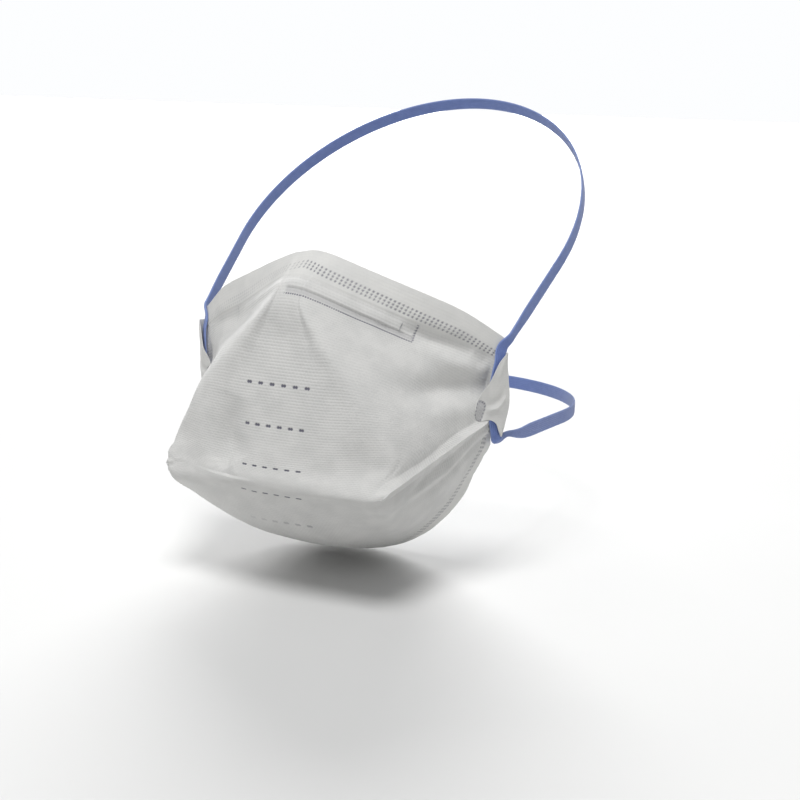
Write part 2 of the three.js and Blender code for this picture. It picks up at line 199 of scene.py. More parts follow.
# Rows of the covers' meshes as (v, rows to the next stop); they are finer at the marks.
COVER_ROWS = {
    "upper": [(0, 26), (0.128, 12), (0.154, 26), (0.32, 12), (0.346, 24), (0.485, 12), (0.511, 30),
              (0.66, 40), (0.82, 60), (0.93, 10), (0.99, 0)],
    "lower": [(0, 24), (0.13, 12), (0.162, 36), (0.375, 12), (0.405, 80), (0.89, 14), (0.99, 0)],
}
COVER_COLUMNS = {"upper": 640, "lower": 520}
PLY_ROWS, PLY_COLUMNS = 70, 110
TAPE_ROWS = ((62, 8), 7, 14)  # outside (up to v 0.97 and on to the rim), round the rim, and inside

# The strap loops stand in an upright plane: "in" runs from the fold to the beak, "out" from the face.
LOOP_FOLD = np.array((73.5, -4, 0))
LOOP_IN = np.array((-0.69, -0.72, 0)) / math.hypot(0.69, 0.72)
LOOP_OUT = np.array((0.72, -0.69, 0)) / math.hypot(0.72, 0.69)
LOOP_THICKNESS = 0.5
LOOP_FOOT, LOOP_TOP = -15.5, 17
TUNNEL_DEPTH = 2.4
INNER_LEAF = 2.0  # how far the leaf behind the band reaches in
BAND_OUT = -TUNNEL_DEPTH / 2
# Where the flap starts at the fold and where it ends: (in, height) and (in, height), foot to top.
FLAP_EDGES = np.array([
    (3.0, -15.6, 3.3, -15.5), (2.2, -12.6, 4.3, -12.8), (1.5, -9.8, 5.4, -10.0), (0.8, -7.0, 8.2, -8.4),
    (0.4, -5.0, 13.2, -8.3), (0.1, -3.4, 14.4, -4.9), (0, -2.0, 13.4, -1.4), (0, 0, 11.6, 0.4),
    (0.1, 3, 9.6, 3.6), (0.6, 9, 6.6, 9.4), (1.0, 14, 4.1, 14.4), (0.8, 18, 1.0, 18),
])
# Creases of the flap: points (in, height), width, height.
FLAP_CREASES = [
    ([(8.4, -4.7), (6.4, -4.0), (4.4, -3.3), (1.0, 0.4)], 0.8, 0.5),
    ([(9.6, -2.6), (6.5, -1.6), (3.4, 0.6), (1.6, 4.0)], 1.5, -0.6),
    ([(8.0, -7.4), (4.8, -6.6), (2.2, -9.5)], 1.6, -0.35),
    ([(4.4, 8), (3.0, 12.5), (1.6, 16.5)], 0.9, 0.3),
]
OVAL_CENTRE = (12.0, -4.75)  # of the pressed oval weld that holds the flap, (in, height)
OVAL_LONG = (0.375, -0.927)  # direction of its long axis
OVAL_HALF = (4.2, 2.0)
OVAL_DOTS = 17
LOOP_ROWS, FLAP_COLUMNS, BEND_COLUMNS, LEAF_COLUMNS = 150, 55, 15, 3
FLAP_WELD = (7.5, 11)  # how far in the flap comes down on the cover
FLAP_CLEARANCE = 0.16  # between the welded flap's outside and the cover
FLAP_PUFF = 0.1

# The band in a loop: (height, in, out, share of its width), foot to top; it bunches at the two mouths.
TUNNEL_LINE = np.array([
    (LOOP_FOOT, 4.5, BAND_OUT, 0.8), (-8, 4.8, BAND_OUT, 1), (-2, 5.0, BAND_OUT, 1), (3, 5.0, BAND_OUT, 1),
    (9, 4.1, BAND_OUT, 0.95), (14, 3.1, -1.5, 0.85), (LOOP_TOP, 2.7, -2.2, 0.8),
])

# The two runs of the elastic band round the head, as in the CAD part.
CROWN_RUN = {"pivot": (71.8, -4.2, 20.5), "rise": 34, "half_width": 77.5, "half_length": 92, "back": 60}
NAPE_RUN = {"pivot": (69, -4, -19), "rise": -4, "half_width": 69.5, "half_length": 68, "back": 68}
ROUTE_STEPS = 90
TUNNEL_POINTS, ELBOW_POINTS = 60, 24
RIB_PITCH, YARN_PITCH = 0.85, 0.55  # of the knitted elastic
# How each run leaves its loop: distance back to where it lies straight, how far it sits off the plain
# route there and over what distance that dies out, and its share of width there and over what distance.
CROWN_MOUTH = {"join": 7, "pull": 5, "lift": 0, "settle": 20, "share": 0.75, "widen": 14}
NAPE_MOUTH = {"join": 8, "pull": 4.5, "lift": 2.1, "settle": 10, "share": 0.4, "widen": 26}

# Camera: it looks at AIM from this far away and high.
AIM = (0, 43, -20)
CAMERA_DISTANCE = 700
CAMERA_AZIMUTH = 28
CAMERA_ELEVATION = 14.1
LENS = 70.875
SENSOR_WIDTH = 36
CLIP = (0.01, 20)

# Light: strengths of the surroundings, and lamps as (name, right, up and back of AIM, size, watts).
WALL_LIGHT = 1.0
CEILING_LIGHT = 0.32
WALL_TOP = (0.03, 0.15)  # heights between which the wall turns into the ceiling
LAMPS = [
    ("key", -0.08, 1.15, 0.72, 0.6, 12.8),
    ("fill", -0.9, 0.3, 0.5, 1.0, 0.6),
    ("background", 0, 2.2, -3.0, 2.5, 210),
]
# The background lamp is kept off the pieces whose names end in these, so that the back isn't washed out.
SCREENED = (
    "_elastic", "_tape", "liner_ply_upper", "liner_ply_lower", "_loop_left_cloth", "_loop_right_cloth",
)
FLOOR_HALF = 2.55  # metres
FLOOR_GAP = 0.002  # between the object's lowest point and the floor

# Cloths as colour, shade of marks and clouds, colour where pressed (weld grey plus painted shade of the
# pits), relief and strength of the bond marks.
CLOTHS = {
    "cover_nonwoven": ((0.66, 0.655, 0.64, 1), (0.55, 0.55, 0.54, 1), (0.12, 0.12, 0.155, 1), 0.32, 1.0),
    "binding_nonwoven": ((0.67, 0.665, 0.645, 1), (0.58, 0.58, 0.57, 1), (0.13, 0.13, 0.16, 1), 0.12, 0.3),
    "filter_meltblown": ((0.76, 0.76, 0.75, 1), (0.7, 0.7, 0.69, 1), (0.4, 0.4, 0.42, 1), 0.1, 0.1),
    "liner_nonwoven": ((0.74, 0.74, 0.73, 1), (0.66, 0.66, 0.65, 1), (0.4, 0.4, 0.42, 1), 0.3, 0.8),
}
ELASTIC_DARK, ELASTIC_LIGHT = (0.12, 0.18, 0.45, 1), (0.175, 0.25, 0.54, 1)
ELASTIC_EDGE = (0.26, 0.34, 0.62, 1)


# ---- camera -------------------------------------------------------------------------------------
def camera_axes():
    azimuth, elevation = math.radians(CAMERA_AZIMUTH), math.radians(CAMERA_ELEVATION)
    flat = math.cos(elevation)
    back = Vector((math.sin(azimuth) * flat, -math.cos(azimuth) * flat, math.sin(elevation)))
    right = Vector((math.cos(azimuth), math.sin(azimuth), 0))
    return right, back.cross(right), back


def make_camera():
    data = bpy.data.cameras.new("camera")
    data.lens = LENS
    data.sensor_width = SENSOR_WIDTH
    data.clip_start, data.clip_end = CLIP
    camera = bpy.data.objects.new("camera", data)
    bpy.context.collection.objects.link(camera)
    _, _, back = camera_axes()
    camera.location = (Vector(AIM) + back * CAMERA_DISTANCE) * METRES
    camera.rotation_mode = "QUATERNION"
    camera.rotation_quaternion = (-back).to_track_quat("-Z", "Y")
    bpy.context.scene.camera = camera


# ---- meshes -------------------------------------------------------------------------------------
def grid_faces(rows, columns, flip=False):
    """Quads of a grid of points laid out row after row."""
    corner = np.arange(rows * columns).reshape(rows, columns)
    quads = np.stack([corner[:-1, :-1], corner[:-1, 1:], corner[1:, 1:], corner[1:, :-1]], -1)
    quads = quads.reshape(-1, 4)
    return quads[:, ::-1] if flip else quads


def mesh_object(name, points, faces, look, flat=None, press=None):
    """points in millimetres; flat holds each point's place on the flat cloth, press its share of weld, which
    also sets painted pit shade in the colour.
    """
    mesh = bpy.data.meshes.new(name)
    mesh.from_pydata((points * METRES).tolist(), [], faces.tolist())
    mesh.polygons.foreach_set("use_smooth", [True] * len(mesh.polygons))
    if flat is not None:
        corner_point = np.empty(len(mesh.loops), int)
        mesh.loops.foreach_get("vertex_index", corner_point)
        layer = mesh.uv_layers.new(name="flat_cloth")
        layer.data.foreach_set("uv", flat[corner_point].astype(np.float32).ravel())
    if press is not None:
        pressed = mesh.attributes.new("pressed", "FLOAT", "POINT")
        pressed.data.foreach_set("value", press.astype(np.float32))
    mesh.materials.append(look)
    mesh.update()
    piece = bpy.data.objects.new(name, mesh)
    bpy.context.collection.objects.link(piece)
    return piece


def ring_faces(rows, columns):
    """Quads of a closed tube: each row of points is a ring."""
    corner = np.arange(rows * columns).reshape(rows, columns)
    after = np.roll(corner, -1, 1)
    return np.stack([corner[:-1], after[:-1], after[1:], corner[1:]], -1).reshape(-1, 4)


def mirror(points):
    return points * (-1, 1, 1)


def smoothstep(low, high, x):
    t = np.clip((x - low) / (high - low), 0, 1)
    return t * t * (3 - 2 * t)


def plateau(x, low, high, soft):
    return smoothstep(low - soft, low + soft, x) * (1 - smoothstep(high - soft, high + soft, x))


def unevenness(points, size):
    """Smooth noise from -1 to 1 over points in millimetres."""
    flat = points.reshape(-1, 3) / size
    values = [noise.noise(Vector(p)) for p in flat]
    return np.array(values).reshape(points.shape[:-1])


# ---- the panels' surfaces -----------------------------------------------------------------------
def curve_weights(count, t):
    """Each point's weight in the smooth curve through count points, at every t from 0 to 1."""
    place = np.clip(t, 0, 1) * (count - 1)
    first = np.minimum(place.astype(int), count - 2)
    s = place - first
    shares = 0.5 * np.stack(
        [-s + 2 * s**2 - s**3, 2 - 5 * s**2 + 3 * s**3, s + 4 * s**2 - 3 * s**3, -s**2 + s**3], -1
    )
    weights = np.zeros((len(s), count + 2))
    for k in range(4):
        weights[np.arange(len(s)), first + k] += shares[:, k]
    weights[:, 1] += 2 * weights[:, 0]  # the ends are carried on straight
    weights[:, 2] -= weights[:, 0]
    weights[:, -2] += 2 * weights[:, -1]
    weights[:, -3] -= weights[:, -1]
    return weights[:, 1:-1]


def whole_net(net):
    half = np.array(net, float)
    return np.concatenate([half[:, :0:-1] * (-1, 1, 1), half], 1)


WHOLE_NETS = {name: whole_net(net) for name, net in NETS.items()}


def net_grid(panel, u, v):
    """Points of the panel's net surface for every v (rows) and u (columns)."""
    net = WHOLE_NETS[panel]
    along = curve_weights(net.shape[0], v)
    across = curve_weights(net.shape[1], (u + 1) / 2)
    return np.einsum("ja,abk,ib->jik", along, net, across)


def net_points(panel, u, v):
    """The points of the panel's net surface at pairs of u and v."""
    net = WHOLE_NETS[panel]
    along = curve_weights(net.shape[0], v)
    across = curve_weights(net.shape[1], (u + 1) / 2)
    return np.einsum("na,abk,nb->nk", along, net, across)


def panel_grid(panel, u, v):
    """The net surface with the middle of the beak fold rounded; v may run a little below 0, past the fold."""
    points = net_grid(panel, u, np.maximum(v, 0))
    slack = FOLD_ROUND_MORE * smoothstep(*SLACK_SIDE, -u)
    reach = (FOLD_ROUND + slack) * (1 - np.abs(u) ** 3) + 1e-4
    other = "lower" if panel == "upper" else "upper"
    step = 0.01
    here, there = net_points(panel, u, reach), net_points(other, u, reach)
    leave = (net_points(panel, u, reach + step) - here) * (reach / step)[:, None]
    arrive = (there - net_points(other, u, reach + step)) * (reach / step)[:, None]
    for j, row in enumerate(v):
        t = np.clip((row / reach + 1) / 2, 0, 1)[:, None]  # 0 on the other panel, 1 on this one
        bend = (
            (2 * t**3 - 3 * t**2 + 1) * there + (t**3 - 2 * t**2 + t) * 2 * arrive
            + (3 * t**2 - 2 * t**3) * here + (t**3 - t**2) * 2 * leave
        )
        points[j] = np.where((row < reach)[:, None], bend, points[j])
    return points


def unit(vectors):
    return vectors / np.maximum(np.linalg.norm(vectors, axis=-1, keepdims=True), 1e-9)


def distance_to_line(points, line):
    """Distance from each point to a line of points, and how far along it the nearest place is."""
    best = np.full(points.shape[:-1], 1e9)
    along = np.zeros(points.shape[:-1])
    pieces = len(line) - 1
    for k in range(pieces):
        start, run = line[k], line[k + 1] - line[k]
        t = np.clip(((points - start) @ run) / (run @ run), 0, 1)
        distance = np.linalg.norm(points - start - t[..., None] * run, axis=-1)
        nearer = distance < best
        best = np.where(nearer, distance, best)
        along = np.where(nearer, (k + t) / pieces, along)
    return best, along


def soft_fold_height(panel, points):
    """How far the soft folds lift the cloth."""
    total = np.zeros(points.shape[:-1])
    for where, stops, width, height, (first, last) in SOFT_FOLDS:
        if where != panel:
            continue
        stops = np.array(stops, float)
        t = np.linspace(0, 1, 20)
        weights = curve_weights(len(stops), t)
        u, v = (weights @ stops).T
        distance, along = distance_to_line(points, net_points(panel, u, v))
        swell = np.sin(np.pi * along)
        share = np.maximum(swell, first + (last - first) * along)
        total += height * share * np.exp(-((distance / width) ** 2))
    return total


class Cloth:
    """A panel's surface sampled for every v (rows) and u (columns), with its soft folds."""

    def __init__(self, panel, u, v):
        self.panel, self.u, self.v = panel, u, v
        step = 0.006
        base = panel_grid(panel, u, v)
        left, right = np.minimum(u + step, 1), np.maximum(u - step, -1)
        across = panel_grid(panel, left, v) - panel_grid(panel, right, v)
        self.up = panel_grid(panel, u, np.minimum(v + step, 1)) - panel_grid(panel, u, v - step)
        self.out = OUTWARDS[panel] * unit(np.cross(across, self.up))
        self.up = unit(self.up)
        steps = np.linalg.norm(np.diff(base, axis=1), axis=-1)
        run = np.concatenate([np.zeros((len(v), 1)), np.cumsum(steps, 1)], 1)
        middle = np.argmin(np.abs(u))
        self.side = run - run[:, middle : middle + 1]  # distance from the middle along the row
        self.from_seam = np.minimum(run, run[:, -1:] - run)
        self.height = np.repeat(v[:, None] * PANEL_HEIGHT[panel], len(u), 1)
        self.points = base + self.out * self.lift(base)[..., None] + self.seam_shift() + self.tip_tuck(base)

    def lift(self, base):
        """How far the soft folds and the unevenness lift the cloth."""
        folds = smoothstep(0, STIFF, self.height) * soft_fold_height(self.panel, base)
        rumple = sum(height * unevenness(base, size) for height, size in RUMPLES)
        rumple = smoothstep(0, STIFF_FOLD, self.height) * rumple
        return smoothstep(0, STIFF, self.from_seam) * (folds + rumple)

    def tip_tuck(self, base):
        """The beak's corner on the wearer's right is tucked in."""
        corner = net_points(self.panel, np.array([-1.0]), np.array([0.0]))[0]
        tuck = 1 - smoothstep(0, TIP_SIZE, np.linalg.norm(base - corner, axis=-1))
        return tuck[..., None] * TIP_PULL

    def seam_shift(self):
        """The welded side seam stands up as a narrow strip, and the lower panel's edge goes with it."""
        if self.panel == "upper":
            upper_v = self.v
            stitch = 0
            weight = np.clip(1 - self.from_seam / SEAM_STRIP, 0, 1) ** SEAM_CURVE
        else:
            upper_v = self.v * SEAM_MATCH
            seam = np.ones_like(self.v)
            stitch = net_points("upper", seam, upper_v) - net_points("lower", seam, self.v)
            stitch *= (self.v < SEAM_TOP)[:, None]
            weight = 1 - smoothstep(0, SEAM_HEM, self.from_seam)
        shifts = {}
        for side, start in SEAM_START.items():
            standing = smoothstep(*start, upper_v) * (1 - smoothstep(*SEAM_STRIP_END, upper_v))
            shifts[side] = (stitch + standing[:, None] * SEAM_SHIFT)[:, None]
        return weight[..., None] * np.where(self.u[:, None] > 0, shifts[1], mirror(shifts[-1]))

    def inner_depth(self, depth):
        """Depth of an inner ply: close to the cover at the seams and the rim, deep behind the nose wire."""
        room = 0
        if self.panel == "upper":
            room = (WIRE_ROOM * smoothstep(*WIRE_ROOM_ROWS, self.v))[:, None]
        apart = smoothstep(0, SEAM_PRESS, self.from_seam)
        rim = smoothstep(*RIM_ROWS, self.v)[:, None]
        loose = SEAM_DEPTH * depth + ((1 - SEAM_DEPTH) * depth + room) * apart
        return loose * (1 - rim) + RIM_DEPTH * depth * rim

    def flat(self):
        return np.stack([self.side, self.height], -1)

    def at_depth(self, depth):
        return self.points - self.out * np.broadcast_to(depth, self.side.shape)[..., None]


def columns_across(panel, count):
    """u values spread along the cloth, closer together in the middle and at the side seams."""
    fine = np.linspace(-1, 1, 4001)
    lengths = [np.linalg.norm(np.diff(net_grid(panel, fine, np.array([v]))[0], axis=0), axis=1)
               for v in (0.0, 0.9)]
    steps = (lengths[0] + lengths[1]) / 2
    side = np.cumsum(steps) - steps.sum() / 2
    in_middle = np.abs(side) < FINE_MIDDLE
    at_seam = np.abs(side) > steps.sum() / 2 - FINE_EDGE
    wanted = 1 + 1.0 * in_middle + 0.6 * at_seam
    run = np.concatenate([[0], np.cumsum(steps * wanted)])
    values = np.interp(np.linspace(0, run[-1], count + 1), run, fine)
    values[count // 2] = 0
    return values


def rows_between(*stops):
    """v values from (v, rows to the next stop) pairs."""
    parts = [np.linspace(a, b, n, endpoint=False) for (a, n), (b, _) in zip(stops, stops[1:])]
    return np.concatenate(parts + [[stops[-1][0]]])


# ---- materials ----------------------------------------------------------------------------------
class Nodes:
    """Short names for building one material's nodes."""

    def __init__(self, name):
        self.material = bpy.data.materials.new(name)
        self.material.use_nodes = True
        self.tree = self.material.node_tree
        self.shader = self.tree.nodes["Principled BSDF"]

    def new(self, kind, **settings):
        node = self.tree.nodes.new(kind)
        for key, value in settings.items():
            setattr(node, key, value)
        return node

    def put(self, socket, value):
        if isinstance(value, bpy.types.NodeSocket):
            self.tree.links.new(value, socket)
        else:
            socket.default_value = value

    def set(self, name, value):
        self.put(self.shader.inputs[name], value)

    def math(self, operation, *values):
        node = self.new("ShaderNodeMath", operation=operation)
        for socket, value in zip(node.inputs, values):
            self.put(socket, value)
        return node.outputs[0]

    def add(self, first, second):
        return self.math("ADD", first, second)

    def times(self, first, second):
        return self.math("MULTIPLY", first, second)

    def ramp(self, value, low, high, start=0.0, end=1.0):
        """value between low and high, eased to run from start to end."""
        node = self.new("ShaderNodeMapRange", interpolation_type="SMOOTHSTEP")
        for socket, number in zip(node.inputs, (value, low, high, start, end)):
            self.put(socket, number)
        return node.outputs[0]

    def mix(self, share, first, second):
        node = self.new("ShaderNodeMix", data_type="RGBA")
        self.put(node.inputs["Factor"], share)
        self.put(node.inputs[6], first)  # the two colour inputs
        self.put(node.inputs[7], second)
        return node.outputs[2]

    def mix_value(self, share, first, second):
        node = self.new("ShaderNodeMix", data_type="FLOAT")
        for socket, value in zip((node.inputs[0], node.inputs[2], node.inputs[3]), (share, first, second)):
            self.put(socket, value)
        return node.outputs[0]

    def noise(self, place, scale, detail=3.0, roughness=0.55):
        node = self.new("ShaderNodeTexNoise")
        self.put(node.inputs["Vector"], place)
        self.put(node.inputs["Scale"], scale)
        self.put(node.inputs["Detail"], detail)
        self.put(node.inputs["Roughness"], roughness)
        return node.outputs["Fac"]

    def bump(self, height, strength, distance, normal=None):
        node = self.new("ShaderNodeBump")
        self.put(node.inputs["Height"], height)
        self.put(node.inputs["Strength"], strength)
        self.put(node.inputs["Distance"], distance)
        if normal is not None:
            self.put(node.inputs["Normal"], normal)
        return node.outputs["Normal"]


def flat_place(nodes):
    """Across and along places on the flat cloth, in millimetres."""
    cloth = nodes.new("ShaderNodeUVMap", uv_map="flat_cloth").outputs["UV"]
    split = nodes.new("ShaderNodeSeparateXYZ")
    nodes.put(split.inputs[0], cloth)
    return cloth, split.outputs["X"], split.outputs["Y"]


def bond_points(nodes, across, along, pitch, row, half_long, half_wide):
    """Staggered rows of small lens-shaped marks, 1 in a mark and 0 between them."""
    rows = nodes.math("DIVIDE", along, row)
    shift = nodes.times(nodes.math("PINGPONG", nodes.math("FLOOR", rows), 1.0), 0.5)
    columns = nodes.add(nodes.math("DIVIDE", across, pitch), shift)
    x = nodes.math("SUBTRACT", nodes.math("FRACT", columns), 0.5)
    y = nodes.math("SUBTRACT", nodes.math("FRACT", rows), 0.5)
    x = nodes.times(x, pitch / half_long)
    y = nodes.times(y, row / half_wide)
    squares = nodes.add(nodes.times(x, x), nodes.times(y, y))
    distance = nodes.math("SQRT", squares)
    return nodes.ramp(distance, 0.5, 1.25, 1.0, 0.0)


def nonwoven(name, colour, shade, pressed, emboss, mark_share):
    """Spunbond cloth: bond marks, fine fibres, cloudy thickness, and welds whose dark colour is partly
    painted shade of their pits.
    """
    nodes = Nodes(name)
    cloth, across, along = flat_place(nodes)
    marks = bond_points(nodes, across, along, 1.6, 1.15, 0.8, 0.36)
    clouds = nodes.noise(cloth, 0.09, 4.0)
    fibres = nodes.noise(cloth, 2.6, 5.0, 0.7)
    tone = nodes.ramp(clouds, 0.35, 0.65, 0.0, 0.45)
    tone = nodes.add(tone, nodes.times(marks, 0.3 * mark_share))
    tone = nodes.add(tone, nodes.ramp(fibres, 0.35, 0.7, 0.0, 0.2))
    base = nodes.mix(tone, colour, shade)
    weld = nodes.new("ShaderNodeAttribute", attribute_name="pressed").outputs["Fac"]
    # Welded places take the weld colour: the welds' own grey, darkened by painted shade of their pits.
    nodes.set("Base Color", nodes.mix(weld, base, pressed))
    rough = nodes.ramp(fibres, 0.3, 0.7, 0.86, 0.72)
    nodes.set("Roughness", nodes.mix_value(weld, rough, 0.45))
    nodes.set("Sheen Weight", 0.12)
    nodes.set("Sheen Roughness", 0.6)
    nodes.set("Specular IOR Level", 0.3)
    flat_marks = nodes.times(marks, -1.0)
    free = nodes.math("SUBTRACT", 1.0, weld)
    texture = nodes.add(flat_marks, nodes.times(fibres, 0.6))
    relief = nodes.times(texture, free)
    nodes.set("Normal", nodes.bump(relief, emboss, 0.00022))
    return nodes.material


def elastic():
    """Knitted elastic: lengthwise ribs of rubber thread crossed by fine yarn."""
    nodes = Nodes("elastic_band")
    cloth, across, along = flat_place(nodes)
    rib = nodes.math("SINE", nodes.times(across, 2 * math.pi / RIB_PITCH))
    lean = nodes.add(along, nodes.times(rib, 0.12))
    yarn = nodes.math("SINE", nodes.times(lean, 2 * math.pi / YARN_PITCH))
    weave = nodes.add(nodes.times(rib, 0.6), nodes.times(yarn, 0.4))
    patches = nodes.noise(cloth, 0.35, 3.0)
    worn = nodes.ramp(patches, 0.35, 0.65, 0.0, 0.3)
    tone = nodes.add(nodes.ramp(weave, -1.0, 1.0, 0.0, 0.45), worn)
    edge = nodes.ramp(nodes.math("ABSOLUTE", across), BAND_WIDTH / 2 - 0.7, BAND_WIDTH / 2, 0.0, 0.5)
    base = nodes.mix(tone, ELASTIC_DARK, ELASTIC_LIGHT)
    nodes.set("Base Color", nodes.mix(edge, base, ELASTIC_EDGE))
    nodes.set("Roughness", nodes.ramp(weave, -1.0, 1.0, 0.75, 0.5))
    nodes.set("Sheen Weight", 0.25)
    nodes.set("Sheen Roughness", 0.5)
    nodes.set("Normal", nodes.bump(weave, 0.5, 0.0001))
    return nodes.material


def galvanised():
    """The nose wire, hidden in its pocket."""
    nodes = Nodes("nose_wire_metal")
    place = nodes.new("ShaderNodeTexCoord").outputs["Object"]
    grain = nodes.noise(place, 900.0, 4.0)
    nodes.set("Base Color", nodes.mix(grain, (0.42, 0.43, 0.44, 1), (0.6, 0.61, 0.62, 1)))
    nodes.set("Roughness", nodes.ramp(grain, 0.3, 0.7, 0.3, 0.5))
    nodes.set("Metallic", 0.9)
    nodes.set("Normal", nodes.bump(grain, 0.2, 0.0001))
    return nodes.material


def floor_material():
    nodes = Nodes("floor_paper")
    place = nodes.new("ShaderNodeTexCoord").outputs["Object"]
    cloud = nodes.noise(place, 3.0)
    nodes.set("Base Color", nodes.mix(cloud, (0.61, 0.61, 0.605, 1), (0.64, 0.64, 0.635, 1)))
    nodes.set("Roughness", nodes.ramp(cloud, 0.3, 0.7, 0.8, 0.9))
    return nodes.material


# ---- elastic bands ------------------------------------------------------------------------------
def band_route(run):
    """The run's points round the head as in the CAD part, from the wearer's left pivot to the right one."""
    pivot_x, pivot_y, pivot_z = run["pivot"]
    half_width, half_length, back = run["half_width"], run["half_length"], run["back"]
    sideways, backwards = pivot_x / half_width, back / half_length
    touch = math.acos(1 / math.hypot(sideways, backwards)) - math.atan2(backwards, sideways)
    plane = [(pivot_x, 0)]
    for i in range(ROUTE_STEPS + 1):
        angle = touch + (math.pi - 2 * touch) * i / ROUTE_STEPS
        plane.append((half_width * math.cos(angle), back + half_length * math.sin(angle)))
    plane.append((-pivot_x, 0))
    tilt = math.radians(run["rise"])
    return np.array([
        (x, pivot_y + behind * math.cos(tilt), pivot_z + behind * math.sin(tilt)) for x, behind in plane
    ])


def loop_place(side, inward, outward, height):
    """Points at places in the loop's upright plane."""
    inward, outward, height = np.broadcast_arrays(inward, outward, height)
    points = LOOP_FOLD + inward[..., None] * LOOP_IN + outward[..., None] * LOOP_OUT
    points[..., 2] = height
    return points if side > 0 else mirror(points)


def tunnel_line(count):
    """The band's middle line in the wearer's left loop, foot to top, and its share of width."""
    weights = curve_weights(len(TUNNEL_LINE), np.linspace(0, 1, count))
    height, inward, outward, share = (weights @ TUNNEL_LINE).T
    return loop_place(1, inward, outward, height), share


def distances(line):
    return np.concatenate([[0], np.cumsum(np.linalg.norm(np.diff(line, axis=0), axis=1))])


def sampled(line, widths, shares, spacing):
    """The line with its width directions and shares of width, at an even spacing."""
    walked = distances(line)
    stops = np.linspace(0, walked[-1], max(int(walked[-1] / spacing), 8))

    def pick(values):
        return np.stack([np.interp(stops, walked, values[:, k]) for k in range(3)], -1)

    return pick(line), unit(pick(widths)), np.interp(stops, walked, shares), stops


def band_section():
    """Flat cross-section of the elastic: (across, up) round it, with shallow lengthwise ribs."""
    half, thick = BAND_WIDTH / 2, BAND_THICKNESS / 2
    x = half * np.sin(np.linspace(-1, 1, 29) * math.pi / 2)
    rib = 0.05 * np.cos(x * 2 * math.pi / RIB_PITCH)
    y = (thick + rib) * np.sqrt(np.maximum(1 - (np.abs(x) / half) ** 6, 0)) + 0.02
    top = np.stack([x, y], -1)
    return np.concatenate([top, top[::-1] * (1, -1)])


def ribbon(name, line, across, shares, stops, look):
    """A flat band swept along the line, its width along across."""
    forward = unit(np.gradient(line, axis=0))
    across = unit(across - forward * np.sum(across * forward, -1, keepdims=True))
    out = np.cross(forward, across)
    section = band_section()
    sideways = shares[:, None] * section[None, :, 0]
    upwards = section[None, :, 1] * (2 - shares[:, None])  # a bunched band is thicker
    rings = line[:, None] + across[:, None] * sideways[..., None] + out[:, None] * upwards[..., None]
    count, around = rings.shape[:2]
    flat = np.stack(np.broadcast_arrays(section[None, :, 0], stops[:, None]), -1)
    faces = ring_faces(count, around)
    return mesh_object(name, rings.reshape(-1, 3), faces, look, flat.reshape(-1, 2))


def bezier(start, first, second, end, count):
    t = np.linspace(0, 1, count)[:, None]
    return (1 - t) ** 3 * start + 3 * (1 - t) ** 2 * t * first + 3 * (1 - t) * t**2 * second + t**3 * end


def run_behind(run, mouth):
    """The route from where it lies straight to the middle of the back, and how far back each point is."""
    route = band_route(run)
    route = route[: len(route) // 2 + 1]
    back = distances(route)
    straight = np.arange(mouth["join"], back[1], 2.0)
    stops = np.concatenate([straight, back[(back > mouth["join"] + 1) & (back >= back[1])]])
    route = np.stack([np.interp(stops, back, route[:, k]) for k in range(3)], -1)
    past = stops - mouth["join"]
    route[:, 2] += mouth["lift"] * np.exp(-((past / mouth["settle"]) ** 2))
    return route, past


def half_band(run, mouth, at_top):
    """From the wearer's left loop to the middle of the back of the head: line, widths and shares."""
    tilt = math.radians(run["rise"])
    along = np.array((0, math.cos(tilt), math.sin(tilt)))
    edge = np.array((0, -math.sin(tilt), math.cos(tilt))) * (1 if at_top else -1)
    pull, share = mouth["pull"], mouth["share"]
    route, past = run_behind(run, mouth)
    route_share = share + (1 - share) * smoothstep(0, mouth["widen"], past)
    tunnel, tunnel_share = tunnel_line(TUNNEL_POINTS)
    if not at_top:
        tunnel, tunnel_share = tunnel[::-1], tunnel_share[::-1]
    leaving = unit(tunnel[-1] - tunnel[-4])
    elbow = bezier(
        tunnel[-1], tunnel[-1] + leaving * pull, route[0] - along * pull, route[0], ELBOW_POINTS
    )
    turned = smoothstep(0, 1, np.linspace(0, 1, ELBOW_POINTS))[:, None]
    elbow_widths = unit(LOOP_IN * (1 - turned) + edge * turned)
    elbow_share = tunnel_share[-1] + (share - tunnel_share[-1]) * turned[:, 0]
    line = np.concatenate([elbow[:-1], route])
    widths = np.concatenate([elbow_widths[:-1], np.broadcast_to(edge, route.shape)])
    return line, widths, np.concatenate([elbow_share[:-1], route_share])


def make_head_band(name, run, mouth, at_top, look):
    """One run of the elastic, from inside one loop round the head into the other."""
    line, widths, shares = half_band(run, mouth, at_top)
    line, widths, shares, stops = sampled(
        np.concatenate([line, mirror(line[::-1])]),
        np.concatenate([widths, mirror(widths[::-1])]),
        np.concatenate([shares, shares[::-1]]),
        1.0,
    )
    piece = ribbon(name + "_elastic", line, widths, shares, stops, look)
    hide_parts(name)
    return piece, line, stops[-1]


def make_tunnel_band(side, look):
    """The stretch of elastic inside a strap loop."""
    name = "band_in_loop_" + ("left" if side > 0 else "right")
    line, shares = tunnel_line(TUNNEL_POINTS)
    widths = np.broadcast_to(LOOP_IN, line.shape)
    if side < 0:
        line, widths = mirror(line), mirror(widths)
    line, widths, shares, stops = sampled(line, widths, shares, 1.0)
    piece = ribbon(name + "_elastic", line, widths, shares, stops, look)
    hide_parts(name)
    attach(piece, "mask")
    return piece


def make_bands(look):
    tunnels = [make_tunnel_band(side, look) for side in (1, -1)]
    upper, upper_line, upper_length = make_head_band("upper_band", CROWN_RUN, CROWN_MOUTH, True, look)
    lower, lower_line, lower_length = make_head_band("lower_band", NAPE_RUN, NAPE_MOUTH, False, look)
    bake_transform(upper)
    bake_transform(lower)


# ---- cloth pieces -------------------------------------------------------------------------------
def place_cloth(piece, panel):
    if panel == "upper":
        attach(piece, "mask")
    else:
        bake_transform(piece)


